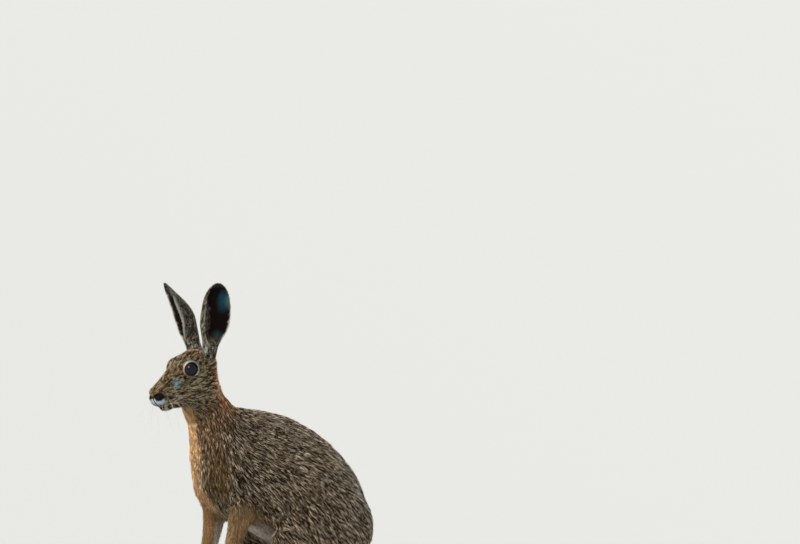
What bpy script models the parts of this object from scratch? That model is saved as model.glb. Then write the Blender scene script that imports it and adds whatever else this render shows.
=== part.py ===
"""A brown hare, life size, sitting up on straight forelegs with its ears raised.

The hare faces -X, its left side is -Y and the floor is z = 0. Sizes are in units of 1.08 mm,
turned into metres where a shape is made. The flesh is fused from a few lofted and rounded
forms out to the tips of the coat, and then parted by thin cuts.
"""

import math

import bmesh
import bpy
import numpy as np
from mathutils import Matrix, Vector
from mathutils.bvhtree import BVHTree

UNIT = 0.00108  # one unit of the sizes below, in metres
CLEAR = 0.3  # gap between neighbouring nodes
DENSE = 1.5  # voxel that the forms are fused with
FIRST_SOFTENING = 9  # passes over the whole flesh
BODY_SOFTENING = 24  # further passes, away from the head and paws
HEAD_TRIANGLES = 2500
BODY_TRIANGLES = 2800

# The head has a frame of its own: back from the nose, left, and up from the mouth's level.
HEAD_PITCH = math.radians(19.0)
HEAD_FORWARD = 159.4
HEAD_UP = 261.4

EYE = (53.0, 15.4, 18.8)
EYE_RADIUS = 10.0
LID_RADIUS = 11.8
EYE_TURN = math.radians(14.0)  # the gaze, forward of straight sideways
LID_OPENING = (8.3, 7.7)  # half width and half height

EAR_THICK = 2.4
EAR_EDGE = 1.3
EAR_TUBE = 7.5  # radius of the closed tube at its root

SOLE_TOP = 27.0  # the hind feet are parted from the thighs at this height
WRIST = 37.0  # the forepaws are parted from the forelegs at this height

# Side outline of the trunk: back point, belly point (forward, up), half width, egg shape.
# A positive egg shape is narrower along the back.
TRUNK = (
    ((-154, 84), (-146, 52), 16, 0.0),
    ((-153, 112), (-128, 36), 35, 0.0),
    ((-141, 147), (-92, 36), 52, 0.1),
    ((-120, 176), (-48, 52), 62, 0.12),
    ((-86, 206), (4, 78), 65, 0.14),
    ((-45, 229), (44, 100), 59, 0.16),
    ((-15, 238), (74, 119), 54, 0.14),
    ((8, 243), (93, 143), 49, 0.1),
    ((27, 246), (100, 174), 44, 0.05),
    ((45, 252), (101, 205), 37, 0.0),
    ((58, 266), (105, 226), 32, 0.0),
    ((68, 284), (112, 244), 29, 0.0),
    ((78, 302), (118, 264), 21, 0.0),
)

# Outline of the head along its own frame: back, top, bottom, half width, egg shape, and how
# round the section is. 1 is an ellipse and less is fuller at its corners.
HEAD = (
    (-0.4, 8.0, 2.6, 4.0, 0.0, 1.0),
    (1.4, 10.4, -6.5, 9.0, 0.0, 1.0),
    (4.5, 12.6, -12.5, 12.2, 0.05, 0.95),
    (9.0, 14.4, -16.5, 14.4, 0.12, 0.9),
    (17.0, 17.6, -21.5, 16.4, 0.2, 0.88),
    (27.0, 22.2, -25.0, 18.4, 0.22, 0.86),
    (38.0, 27.8, -27.5, 20.4, 0.16, 0.86),
    (48.0, 32.2, -29.5, 22.2, 0.12, 0.88),
    (59.0, 35.6, -31.0, 24.0, 0.1, 0.9),
    (71.0, 37.2, -30.5, 24.4, 0.08, 0.94),
    (82.0, 33.5, -28.0, 22.6, 0.04, 1.0),
    (90.0, 26.0, -21.0, 18.0, 0.0, 1.0),
    (96.0, 16.0, -9.0, 10.0, 0.0, 1.0),
)

# Rounded forms on each side of the head: centre, radii (back, left, up), pitch in degrees.
HEAD_FORMS = (
    ((60.0, 14.5, -9.0), (28.0, 12.6, 20.5), 0),  # cheek
    ((30.0, 9.5, -9.0), (24.0, 9.5, 12.0), 0),  # side of the muzzle
    ((52.0, 11.0, 25.6), (17.0, 7.0, 5.4), 22),  # brow
    (EYE, (LID_RADIUS,) * 3, 0),  # lids over the eyeball
    ((10.5, 8.2, -5.0), (10.0, 8.4, 10.2), 0),  # whisker pad
    ((83.0, 12.8, 12.0), (12.0, 10.6, 18.0), -17),  # root of the ear
)

# Rounded forms on the midline of the head.
HEAD_MIDDLE = (
    ((4.6, 0.0, 7.4), (5.0, 8.6, 5.2), 0),  # nose
    ((16.5, 0.0, -18.4), (9.5, 9.0, 5.4), 0),  # chin
)

# Lines cut into the face, each laid on its surface: back, left, up.
MOUTH_RADIUS = 0.9
MOUTH = ((5.5, 2.0, -15.0), (9.0, 7.5, -16.2), (14.0, 11.5, -16.4), (20.0, 14.0, -15.2))
NOSTRIL = ((0.3, 1.4, -0.6), (1.6, 4.4, 0.8), (4.0, 7.2, 2.4), (7.2, 9.4, 3.2), (9.8, 11.0, 2.8))
NOSTRIL_RADIUS = 3.0
LIP_RADIUS = 1.0
SPLIT_LIP = ((0.0, 0, 1.0), (1.6, 0, -4.0), (2.8, 0, -8.5), (4.6, 0, -13.5), (6.6, 0, -17.0))

# Rounded forms on each side of the trunk: centre (forward, left, up), radii, pitch.
BODY_FORMS = (
    ((50, 31, 174), (29, 20, 56), 20),  # shoulder
    ((-70, 45, 94), (72, 27, 62), 18),  # thigh
    ((-20, 49, 70), (40, 20, 38), -20),  # knee
    ((-62, 45, 42), (66, 17, 27), 0),  # folded shin
)

# Foreleg from the shoulder to the paw: forward, left, up, half width, half depth.
FORELEG = (
    (52, 33, 172, 16, 24),
    (48, 33, 144, 16, 23),
    (47, 31, 118, 14, 19),
    (53, 28, 90, 11.5, 14),
    (61, 26, 62, 10, 11),
    (66, 25, 40, 10, 10),
    (74, 25, 24, 11, 10),
    (86, 25, 11, 13, 9),
)

# Hind foot from the heel to the ball of the toes.
HIND_FOOT = (
    (-114, 43, 17, 9, 10),
    (-105, 43, 14, 12, 14),
    (-80, 44, 14, 12.5, 14),
    (-48, 46, 12, 12, 12),
    (-20, 49, 10, 13.5, 10.5),
    (-2, 51, 9, 15.5, 9.5),
)

# Toes of one paw: sideways place of each, how far its tip leads, and the radii of a toe.
FORE_TOES = ((-10.0, -4), (-3.6, 1), (3.4, 1), (10.2, -5))
FORE_TOE = (13.0, 4.6, 6.6)
FORE_KNUCKLE = (93, 25, 5.6)
HIND_TOES = ((-12.0, -6), (-4.2, 1), (4.2, 1), (12.2, -7))
HIND_TOE = (18.0, 5.2, 7.6)
HIND_KNUCKLE = (4, 51.5, 6.2)
CLAW_LENGTH = 7.6
CLAW_RADIUS = 1.8
CLAW_TIP = 0.5
CLAW_UP = 4.6
CLAW_TURN = math.radians(-104)  # from upright to forward and a little down

# Tail: forward, left, up, half width, half depth.
TAIL = (
    (-116, 0, 72, 15, 11),
    (-134, 0, 63, 19, 14),
    (-151, 0, 53, 20.5, 15),
    (-167, 0, 44, 18.5, 13.5),
    (-179, 0, 38, 13, 10),
    (-187, 0, 34, 5, 4),
)

# Space taken out of the body for each thigh: centre, radii and pitch.
THIGH_CLAIM = ((-62, 66, 78), (92, 38, 84), 18)

# Space taken out for each foreleg, from a domed top below the elbow to under the floor:
# forward, left, up, half width, half depth.
FORELEG_CLAIM = (
    (46, 36, 134, 4, 6),
    (47, 36, 127, 12, 16),
    (49, 35, 112, 17, 25),
    (54, 31, 90, 21, 28),
    (62, 26, 58, 24, 30),
    (72, 25, 20, 24, 44),
    (76, 25, -20, 24, 50),
)

# The neck is the slice between two tilted planes: point (forward, up) and tilt.
NECK_TILT = math.radians(48.4)
HEAD_PLANE = (86, 252)
CHEST_PLANE = (73, 224)

# Each ear: root (forward, left, up), lean, the way its cup faces, its length, how far its
# margins stand before its line, how much of the bend lies along the middle of its back,
# the curl of its front margin in degrees, how far the curled part is set forward, the share
# of the bend left at its tip, and how much of the outer half's fullness it shows.
EARS = {
    "ear_left": (
        (85.0, 11.5, 294), (4.4, 30, 105), (0.0, 1.0, 0.0), 116, 4.0, 1.0, 100, 1.9, 1.0, 0.5,
    ),
    "ear_right": (
        (78.2, -12.5, 294), (27.5, -36, 96), (0.934, -0.358, 0.0), 116, 0.0, 0.42, 0, 0.0, 0.5, 1.0,
    ),
}
# Along the ear: share of its length, half width laid flat, how far each half bends, and how
# much fuller its outer half is.
EAR_SHAPE = (
    (0.0, 15.0, 158, 0.0),
    (0.1, 20.5, 158, 0.0),
    (0.19, 25.0, 156, 0.0),
    (0.27, 25.2, 146, 0.0),
    (0.34, 24.8, 122, 0.02),
    (0.41, 25.2, 93, 0.10),
    (0.5, 26.6, 72, 0.17),
    (0.61, 27.0, 62, 0.14),
    (0.75, 25.7, 58, 0.05),
    (0.85, 22.2, 55, 0.0),
    (0.93, 15.8, 52, 0.0),
    (0.98, 8.5, 50, 0.0),
    (1.0, 2.6, 50, 0.0),
)
CURL_START = 0.66  # share of the half width where the front margin begins to curl

COAT = (0.30, 0.21, 0.13, 1.0)
RUSSET = (0.48, 0.24, 0.11, 1.0)
EAR_COLOUR = (0.20, 0.16, 0.12, 1.0)
PAW_COLOUR = (0.52, 0.33, 0.18, 1.0)
TAIL_COLOUR = (0.70, 0.66, 0.60, 1.0)
EYE_COLOUR = (0.02, 0.012, 0.008, 1.0)


def place(forward, left, up):
    """A point of the hare in metres."""
    return Vector((-forward, -left, up)) * UNIT


def head_point(back, left, up):
    """A point given in the head's own frame."""
    c, s = math.cos(HEAD_PITCH), math.sin(HEAD_PITCH)
    return place(HEAD_FORWARD - back * c + up * s, left, HEAD_UP + back * s + up * c)


def smooth_rows(rows, steps):
    """Rows of numbers with more put in between, on a smooth curve through them."""
    rows = np.array(rows, float)
    ends = np.vstack([2 * rows[0] - rows[1], rows, 2 * rows[-1] - rows[-2]])
    found = []
    for i in range(1, len(ends) - 2):
        a, b, c, d = ends[i - 1 : i + 3]
        for t in np.arange(steps) / steps:
            found.append(
                b
                + 0.5 * t * (c - a)
                + t * t * (a - 2.5 * b + 2 * c - 0.5 * d)
                + t**3 * (1.5 * (b - c) + 0.5 * (d - a))
            )
    return np.array(found + [rows[-1]])


def new_object(name, bm):
    """A mesh object made from a bmesh, which is then freed."""
    mesh = bpy.data.meshes.new(name)
    bm.to_mesh(mesh)
    bm.free()
    made = bpy.data.objects.new(name, mesh)
    bpy.context.scene.collection.objects.link(made)
    return made


def loft(name, rings):
    """A closed skin over rings of points, each ring listed the same way round."""
    bm = bmesh.new()
    rows = [[bm.verts.new(p) for p in ring] for ring in rings]
    count = len(rows[0])
    for one, two in zip(rows, rows[1:]):
        for k in range(count):
            n = (k + 1) % count
            bm.faces.new((one[k], one[n], two[n], two[k]))
    bm.faces.new(reversed(rows[0]))
    bm.faces.new(rows[-1])
    bmesh.ops.recalc_face_normals(bm, faces=bm.faces)
    return new_object(name, bm)


def blob(name, to_world, centre, radii, pitch, detail=4):
    """An ellipsoid. Its centre and radii are read along the axes that to_world takes."""
    bm = bmesh.new()
    bmesh.ops.create_icosphere(bm, subdivisions=detail, radius=1.0)
    c, s = math.cos(math.radians(pitch)), math.sin(math.radians(pitch))
    for v in bm.verts:
        x, y, z = (v.co[i] * radii[i] for i in range(3))
        v.co = to_world(centre[0] + x * c - z * s, centre[1] + y, centre[2] + x * s + z * c)
    bmesh.ops.recalc_face_normals(bm, faces=bm.faces)
    return new_object(name, bm)


def outline_rings(rows, sides=40):
    """Rings through the back and belly points of the trunk."""
    flat = [(*back, *belly, width, egg) for back, belly, width, egg in rows]
    for u1, z1, u2, z2, width, egg in smooth_rows(flat, 6):
        ring = []
        for k in range(sides):
            a = 2 * math.pi * k / sides
            c = math.cos(a)
            up = 0.5 * (1 + c)
            left = width * math.sin(a) * (1 - egg * c)
            ring.append(place(u2 + (u1 - u2) * up, left, z2 + (z1 - z2) * up))
        yield ring


def rounded(value, power):
    """A sine or cosine raised to a power that keeps its sign."""
    return math.copysign(abs(value) ** power, value)


def head_rings(sides=40):
    """Rings of the head's plain form, from the nose to the nape."""
    for back, top, bottom, width, egg, power in smooth_rows(HEAD, 6):
        ring = []
        for k in range(sides):
            a = 2 * math.pi * k / sides
            c = rounded(math.cos(a), power)
            left = width * rounded(math.sin(a), power) * (1 - egg * c)
            ring.append(head_point(back, left, bottom + (top - bottom) * 0.5 * (1 + c)))
        yield ring


def limb_rings(rows, side, grow=0.0, sides=20, steps=4):
    """Rings square to a limb's own line. side is 1 for the left limb and -1 for the right."""
    rows = smooth_rows(rows, steps)
    line = [place(r[0], side * r[1], r[2]) for r in rows]
    for i, row in enumerate(rows):
        along = line[min(i + 1, len(line) - 1)] - line[max(i - 1, 0)]
        across = Vector((0, 1, 0))
        across = (across - along * across.dot(along) / along.length_squared).normalized()
        deep = along.cross(across).normalized()
        ring = []
        for k in range(sides):
            a = 2 * math.pi * k / sides
            ring.append(
                line[i]
                + across * math.cos(a) * (row[3] + grow) * UNIT
                + deep * math.sin(a) * (row[4] + grow) * UNIT
            )
        yield ring


def evaluated(obj):
    """Turns an object's modifiers into its mesh."""
    graph = bpy.context.evaluated_depsgraph_get()
    mesh = bpy.data.meshes.new_from_object(obj.evaluated_get(graph))
    obj.modifiers.clear()
    obj.data = mesh
    return obj


def fused(name, pieces, voxel):
    """Overlapping closed pieces made one closed skin of even faces."""
    bm = bmesh.new()
    for piece in pieces:
        bm.from_mesh(piece.data)
        bpy.data.objects.remove(piece)
    whole = new_object(name, bm)
    remesh = whole.modifiers.new("Fuse", "REMESH")
    remesh.mode = "VOXEL"
    remesh.voxel_size = voxel * UNIT
    return evaluated(whole)


def relaxed(obj, repeats, weight=None):
    """Softens the creases where forms meet. weight says how far each point follows."""
    smooth = obj.modifiers.new("Soften", "SMOOTH")
    smooth.factor = 0.5
    smooth.iterations = repeats
    if weight:
        group = obj.vertex_groups.new(name="soften")
        for v in obj.data.vertices:
            group.add([v.index], weight(v.co), "REPLACE")
        smooth.vertex_group = group.name
    return evaluated(obj)


def thinned(obj, triangles):
    """Fewer triangles, kept where the form bends."""
    obj.data.calc_loop_triangles()
    decimate = obj.modifiers.new("Thin", "DECIMATE")
    decimate.ratio = triangles / len(obj.data.loop_triangles)
    decimate.use_collapse_triangulate = True
    return evaluated(obj)


def copy_of(obj, name):
    """A second object with a mesh of its own."""
    made = bpy.data.objects.new(name, obj.data.copy())
    bpy.context.scene.collection.objects.link(made)
    return made


def cut_flat(obj, point, normal):
    """Keeps what lies on the normal's side of a plane, and closes the cut."""
    bm = bmesh.new()
    bm.from_mesh(obj.data)
    whole = bm.verts[:] + bm.edges[:] + bm.faces[:]
    cut = bmesh.ops.bisect_plane(
        bm, geom=whole, dist=1e-7, plane_co=point, plane_no=normal, clear_inner=True
    )["geom_cut"]
    edges = [e for e in cut if isinstance(e, bmesh.types.BMEdge)]
    bmesh.ops.triangle_fill(bm, edges=edges, use_beauty=True, normal=-normal)
    bmesh.ops.triangulate(bm, faces=[f for f in bm.faces if len(f.verts) > 3])
    bmesh.ops.recalc_face_normals(bm, faces=bm.faces)
    bm.to_mesh(obj.data)
    bm.free()
    return obj


def parted(obj, point, normal, upper, lower):
    """The two sides of a thin flat cut as two objects."""
    step = normal * (CLEAR / 2 * UNIT)
    low = cut_flat(copy_of(obj, lower), point - step, -normal)
    high = cut_flat(copy_of(obj, upper), point + step, normal)
    bpy.data.objects.remove(obj)
    return high, low


def combined(obj, other, operation):
    """One Boolean with another closed mesh, which is then removed."""
    modifier = obj.modifiers.new("Shape", "BOOLEAN")
    modifier.operation = operation
    modifier.object = other
    modifier.solver = "EXACT"
    evaluated(obj)
    bpy.data.objects.remove(other)
    return obj


def largest_body(obj):
    """Drops loose scraps, so that the node is one closed body."""
    bm = bmesh.new()
    bm.from_mesh(obj.data)
    unseen = set(bm.verts)
    bodies = []
    while unseen:
        queue = [unseen.pop()]
        body = set(queue)
        while queue:
            for edge in queue.pop().link_edges:
                for v in edge.verts:
                    if v in unseen:
                        unseen.remove(v)
                        body.add(v)
                        queue.append(v)
        bodies.append(body)
    bodies.sort(key=len)
    scraps = [v for body in bodies[:-1] for v in body]
    bmesh.ops.delete(bm, geom=scraps, context="VERTS")
    bm.to_mesh(obj.data)
    bm.free()
    return obj


def grown(obj, distance):
    """A copy with its skin moved out, to cut a neighbour clear of it."""
    made = copy_of(obj, "clearance")
    normals = [v.normal.copy() for v in made.data.vertices]
    for v, normal in zip(made.data.vertices, normals):
        v.co += normal * distance * UNIT
    return made


def flesh():
    """The whole hare but for its ears, eyes and tail, fused and softened."""
    pieces = [loft("trunk", outline_rings(TRUNK)), loft("skull", head_rings())]
    for centre, radii, pitch in HEAD_MIDDLE:
        pieces.append(blob("form", head_point, centre, radii, pitch))
    for side in (1, -1):
        for centre, radii, pitch in HEAD_FORMS:
            centre = (centre[0], side * centre[1], centre[2])
            pieces.append(blob("form", head_point, centre, radii, pitch))
        for centre, radii, pitch in BODY_FORMS:
            centre = (centre[0], side * centre[1], centre[2])
            pieces.append(blob("form", place, centre, radii, pitch))
        pieces.append(loft("limb", limb_rings(FORELEG, side)))
        pieces.append(loft("limb", limb_rings(HIND_FOOT, side)))
        pieces += toes(side, FORE_TOES, FORE_TOE, FORE_KNUCKLE)
        pieces += toes(side, HIND_TOES, HIND_TOE, HIND_KNUCKLE)
    whole = fused("flesh", pieces, DENSE)
    relaxed(whole, FIRST_SOFTENING)
    return relaxed(whole, BODY_SOFTENING, body_softness)


def body_softness(point):
    """How far a point is softened further: not on the head and little on the paws."""
    ahead = (-point.x / UNIT - HEAD_PLANE[0]) * math.sin(NECK_TILT)
    above = (point.z / UNIT - HEAD_PLANE[1]) * math.cos(NECK_TILT)
    off_head = min(1.0, max(0.0, (12 - ahead - above) / 24))
    off_paws = min(1.0, max(0.0, (point.z / UNIT - 14) / 30))
    return off_head * off_paws


def toes(side, spread, radii, knuckle):
    """The toes of one paw as rounded forms."""
    for left, lead in spread:
        centre = (knuckle[0] + lead, side * (knuckle[1] + left), knuckle[2])
        yield blob("toe", place, centre, radii, -8)


def claws(side, spread, radii, knuckle):
    """The claws of one paw: short tapered cones, rooted in the tips of the toes."""
    for left, lead in spread:
        bm = bmesh.new()
        bmesh.ops.create_cone(
            bm, segments=6, cap_ends=True, cap_tris=True,
            radius1=CLAW_RADIUS * UNIT, radius2=CLAW_TIP * UNIT, depth=CLAW_LENGTH * UNIT,
        )
        turn = Matrix.Rotation(CLAW_TURN, 4, "Y")
        middle = place(knuckle[0] + lead + radii[0] - 0.5, side * (knuckle[1] + left), CLAW_UP)
        bmesh.ops.transform(bm, matrix=Matrix.Translation(middle) @ turn, verts=bm.verts)
        yield new_object("claw", bm)


def neck_normal():
    """The way that both neck planes face: up and forward."""
    return Vector((-math.sin(NECK_TILT), 0, math.cos(NECK_TILT)))


def thigh_claim(side, grow):
    """The space that a thigh takes out of the trunk."""
    centre, radii, pitch = THIGH_CLAIM
    centre = (centre[0], side * centre[1], centre[2])
    return blob("claim", place, centre, [r + grow for r in radii], pitch, 3)


def foreleg_claim(side, grow):
    """The space that a foreleg takes, from the elbow down."""
    forward, left, up, *half = FORELEG_CLAIM[0]
    rows = ((forward, left, up + grow, *half), *FORELEG_CLAIM[1:])
    return loft("claim", limb_rings(rows, side, grow, steps=2))


def split_claim(whole, claim, name, side):
    """Takes a claimed space out of the whole as a node of its own."""
    node = combined(copy_of(whole, name), claim(side, 0.0), "INTERSECT")
    combined(whole, claim(side, CLEAR), "DIFFERENCE")
    return largest_body(node)


def groove(path, radius, surface, sides=6, steps=2):
    """A round cutter that follows a path laid on a surface."""
    tree = BVHTree.FromPolygons(
        [v.co for v in surface.data.vertices],
        [tuple(p.vertices) for p in surface.data.polygons],
    )
    line = []
    for row in smooth_rows(path, steps):
        line.append(tree.find_nearest(head_point(*row))[0])
    rings = []
    for i, point in enumerate(line):
        along = (line[min(i + 1, len(line) - 1)] - line[max(i - 1, 0)]).normalized()
        across = along.orthogonal().normalized()
        if i:
            across = (before - along * before.dot(along)).normalized()
        before = across
        deep = along.cross(across)
        share = i / (len(line) - 1)
        r = radius * UNIT * (0.45 + 0.55 * math.sin(math.pi * min(max(share, 0.06), 0.94)))
        rings.append(
            [
                point
                + across * r * math.cos(2 * math.pi * k / sides)
                + deep * r * math.sin(2 * math.pi * k / sides)
                for k in range(sides)
            ]
        )
    return loft("groove", rings)


def eye_frame(side):
    """Turns the +Z axis to an eye's gaze and stands at its centre."""
    back, left, up = EYE
    centre = head_point(back, side * left, up)
    gaze = Vector((-math.sin(EYE_TURN), -side * math.cos(EYE_TURN), 0.06)).normalized()
    return Matrix.Translation(centre) @ gaze.to_track_quat("Z", "Y").to_matrix().to_4x4()


def eyeball(name, side, radius, segments=18, rings=10):
    """One eye as a plain sphere."""
    bm = bmesh.new()
    bmesh.ops.create_uvsphere(bm, u_segments=segments, v_segments=rings, radius=radius * UNIT)
    bmesh.ops.transform(bm, matrix=eye_frame(side), verts=bm.verts)
    return new_object(name, bm)


def lid_cutter(side, sides=22):
    """The opening between the lids: an almond drawn out along the gaze."""
    half_width, half_height = LID_OPENING
    rings = []
    for depth, flare in ((3.0, 0.9), (8.0, 1.0), (20.0, 1.5)):
        ring = []
        for k in range(sides):
            a = 2 * math.pi * k / sides
            x = half_width * math.cos(a)
            y = half_height * math.sin(a) * (1 - 0.16 * math.cos(a) ** 2)
            ring.append(eye_frame(side) @ (Vector((x * flare, y * flare, depth)) * UNIT))
        rings.append(ring)
    return loft("lid_opening", rings)


def face_details(head):
    """Eye sockets, lids, nostrils, the split lip and the line of the mouth."""
    surface = copy_of(head, "surface")
    cutters = []
    for side in (1, -1):
        combined(head, eyeball("socket", side, EYE_RADIUS + CLEAR, 20, 12), "DIFFERENCE")
        combined(head, lid_cutter(side), "DIFFERENCE")
        mouth = [(back, side * left, up) for back, left, up in MOUTH]
        nostril = [(back, side * left, up) for back, left, up in NOSTRIL]
        cutters.append(groove(mouth, MOUTH_RADIUS, surface))
        cutters.append(groove(nostril, NOSTRIL_RADIUS, surface, 8))
    cutters.append(groove(SPLIT_LIP, LIP_RADIUS, surface))
    for cutter in cutters:
        combined(head, cutter, "DIFFERENCE")
    bpy.data.objects.remove(surface)
    return largest_body(head)


def ear_section(flat, bend, spread, curl, fuller, across):
    """The line of an ear's outer skin laid across it, and the way inwards at each point."""
    fine = 24 * across
    w = np.linspace(-1, 1, fine + 1)
    turn = np.tanh(w / spread) / math.tanh(1 / spread) if spread < 1 else w
    turn = math.radians(bend) * turn
    past = np.clip((w - CURL_START) / (1 - CURL_START), 0, 1)
    turn = turn + math.radians(curl) * past
    step = flat * 2 / fine
    x = np.concatenate([[0], np.cumsum(np.cos((turn[1:] + turn[:-1]) / 2) * step)])
    y = np.concatenate([[0], np.cumsum(np.sin((turn[1:] + turn[:-1]) / 2) * step)])
    x, y = x - x[fine // 2], y - y[fine // 2]
    top = y.max()
    x[w < 0] *= 1 + fuller
    y[w < 0] *= 1 + fuller
    y -= top
    keep = slice(None, None, fine // across)
    return x[keep], y[keep], -np.sin(turn[keep]), np.cos(turn[keep]), w[keep]


def ease(value, low, high):
    """Rises smoothly from 0 at low to 1 at high."""
    share = min(1.0, max(0.0, (value - low) / (high - low)))
    return share * share * (3 - 2 * share)


def ear(name, root, lean, facing, length, rim, spread, curl, ahead, tip, full, steps=2, across=12):
    """A rolled leaf: a thin cupped wall, closed and solid at its root."""
    along = place(*lean).normalized()
    opening = place(*facing)
    opening = (opening - along * opening.dot(along)).normalized()
    sideways = opening.cross(along)
    if along.y > 0:
        sideways = -sideways
    start = place(*root)
    rings = []
    for share, flat, bend, fuller in smooth_rows(EAR_SHAPE, steps):
        opened = ease(share, 0.24, 0.6)
        before = EAR_TUBE + (rim - EAR_TUBE) * opened - rim * 0.5 * ease(share, 0.7, 1.0)
        middle = start + along * (share * length * UNIT) + opening * (before * UNIT)
        middle += sideways * (ahead * opened * UNIT)
        hollow = ease(share, 0.27, 0.42)
        even = 1.0 + (spread - 1.0) * opened
        slim = (1 - tip) * ease(share, 0.6, 1.0)
        bend *= 1 - slim
        flat *= 1 - 0.4 * slim
        section = ear_section(flat, bend, even, curl * opened, full * fuller, across)
        outer, inner = [], []
        first, last = (np.array([section[0][k], section[1][k]]) for k in (0, -1))
        for x, y, in_x, in_y, w in zip(*section):
            thick = min(EAR_EDGE + (EAR_THICK - EAR_EDGE) * (1 - w * w), 0.5 * flat)
            edge = first + (last - first) * (w + 1) / 2 + np.array([0, 0.8])
            cup = np.array([x + in_x * thick, y + in_y * thick])
            cup = edge + (cup - edge) * hollow
            outer.append(middle + (sideways * x + opening * y) * UNIT)
            inner.append(middle + (sideways * cup[0] + opening * cup[1]) * UNIT)
        rings.append(outer + inner[::-1])
    return loft(name, rings)


def material(name, colour, roughness):
    """A plain finish."""
    made = bpy.data.materials.new(name)
    made.use_nodes = True
    shader = made.node_tree.nodes["Principled BSDF"]
    shader.inputs["Base Color"].default_value = colour
    shader.inputs["Roughness"].default_value = roughness
    shader.inputs["Metallic"].default_value = 0.0
    return made


def paint(nodes):
    """Gives each node its finish and smooth shading."""
    coat = material("grizzled_coat", COAT, 0.9)
    russet = material("russet_coat", RUSSET, 0.9)
    ears = material("ear_fur", EAR_COLOUR, 0.85)
    paws = material("paw_fur", PAW_COLOUR, 0.9)
    tails = material("tail_fur", TAIL_COLOUR, 0.9)
    eyes = material("eye", EYE_COLOUR, 0.08)
    for name, node in nodes.items():
        finish = coat
        for start, choice in (
            ("ear", ears), ("eye", eyes), ("neck", russet), ("fore", paws),
            ("hind", paws), ("tail", tails),
        ):
            if name.startswith(start):
                finish = choice
        node.data.materials.clear()
        node.data.materials.append(finish)
        node.data.shade_smooth()
        node.data.set_sharp_from_angle(angle=math.radians(50))


def centre_on_origin(nodes):
    """Moves the hare so that the middle of its length and width stands on the origin."""
    points = np.array([v.co for node in nodes.values() for v in node.data.vertices])
    middle = (points.min(0) + points.max(0)) / 2
    shift = Matrix.Translation((-middle[0], -middle[1], 0))
    for node in nodes.values():
        node.data.transform(shift)


def main():
    for obj in list(bpy.data.objects):
        bpy.data.objects.remove(obj)
    nodes = {}
    up = Vector((0, 0, 1))
    normal = neck_normal()
    whole = flesh()
    head_cut = place(HEAD_PLANE[0], 0, HEAD_PLANE[1])
    spare = normal * (3 * UNIT)
    head = cut_flat(copy_of(whole, "head"), head_cut - spare, normal)
    body = cut_flat(whole, head_cut + spare, -normal)
    thinned(head, HEAD_TRIANGLES)
    thinned(body, BODY_TRIANGLES)
    step = normal * (CLEAR / 2 * UNIT)
    head = largest_body(cut_flat(head, head_cut + step, normal))
    body = largest_body(cut_flat(body, head_cut - step, -normal))
    body = cut_flat(body, Vector((0, 0, 0)), up)

    for side, hand in ((1, "left"), (-1, "right")):
        leg = split_claim(body, foreleg_claim, "foreleg_" + hand, side)
        leg, paw = parted(leg, place(0, 0, WRIST), up, "foreleg_" + hand, "forepaw_" + hand)
        nodes["foreleg_" + hand], nodes["forepaw_" + hand] = leg, paw
    body, feet = parted(body, place(0, 0, SOLE_TOP), up, "body", "feet")
    for side, hand in ((1, "left"), (-1, "right")):
        middle = Vector((0, -side, 0))
        nodes["hind_foot_" + hand] = cut_flat(
            copy_of(feet, "hind_foot_" + hand), Vector((0, 0, 0)), middle
        )
        nodes["thigh_" + hand] = split_claim(body, thigh_claim, "thigh_" + hand, side)
    bpy.data.objects.remove(feet)
    body = largest_body(body)
    chest_cut = place(CHEST_PLANE[0], 0, CHEST_PLANE[1])
    nodes["neck"], nodes["torso"] = parted(body, chest_cut, normal, "neck", "torso")

    tail = loft("tail", limb_rings(TAIL, 1, sides=14, steps=3))
    nodes["tail"] = combined(tail, grown(nodes["torso"], CLEAR), "DIFFERENCE")
    for name, shape in EARS.items():
        nodes[name] = combined(ear(name, *shape), grown(head, CLEAR), "DIFFERENCE")
    nodes["head"] = face_details(head)
    for side, hand in ((1, "left"), (-1, "right")):
        nodes["eye_" + hand] = eyeball("eye_" + hand, side, EYE_RADIUS)
        for claw in claws(side, FORE_TOES, FORE_TOE, FORE_KNUCKLE):
            combined(nodes["forepaw_" + hand], claw, "UNION")
        for claw in claws(side, HIND_TOES, HIND_TOE, HIND_KNUCKLE):
            combined(nodes["hind_foot_" + hand], claw, "UNION")
    for name, node in nodes.items():
        node.name = name
        largest_body(node)
    centre_on_origin(nodes)
    paint(nodes)


main()
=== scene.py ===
"""The brown hare with its coat, eyes, claws and whiskers, in a plain studio.

The skin is one piece made from the fixed solids and lies inside them by the depth of the coat.
Tufts of fur stand on it and follow the lie of the coat. Skin and coat take their markings from
the same rules, given in the hare's own sizes: units of 1.08 mm, forward, left and up.
"""

import math

import bmesh
import bpy
import numpy as np
from mathutils import Matrix, Vector
from mathutils.bvhtree import BVHTree

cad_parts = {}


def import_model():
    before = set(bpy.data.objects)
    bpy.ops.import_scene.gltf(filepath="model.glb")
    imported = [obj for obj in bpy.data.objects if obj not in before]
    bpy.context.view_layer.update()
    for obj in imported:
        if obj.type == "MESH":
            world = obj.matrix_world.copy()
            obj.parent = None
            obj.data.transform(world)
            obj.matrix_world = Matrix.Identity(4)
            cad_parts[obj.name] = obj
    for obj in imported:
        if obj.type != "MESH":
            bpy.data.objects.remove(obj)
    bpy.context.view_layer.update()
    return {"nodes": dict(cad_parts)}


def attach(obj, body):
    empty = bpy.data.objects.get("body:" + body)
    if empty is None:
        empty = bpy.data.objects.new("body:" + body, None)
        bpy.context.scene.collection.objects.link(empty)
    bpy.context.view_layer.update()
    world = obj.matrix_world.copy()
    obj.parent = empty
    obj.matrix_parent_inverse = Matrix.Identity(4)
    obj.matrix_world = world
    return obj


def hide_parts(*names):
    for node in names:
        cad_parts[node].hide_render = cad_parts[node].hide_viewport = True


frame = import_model()

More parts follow.
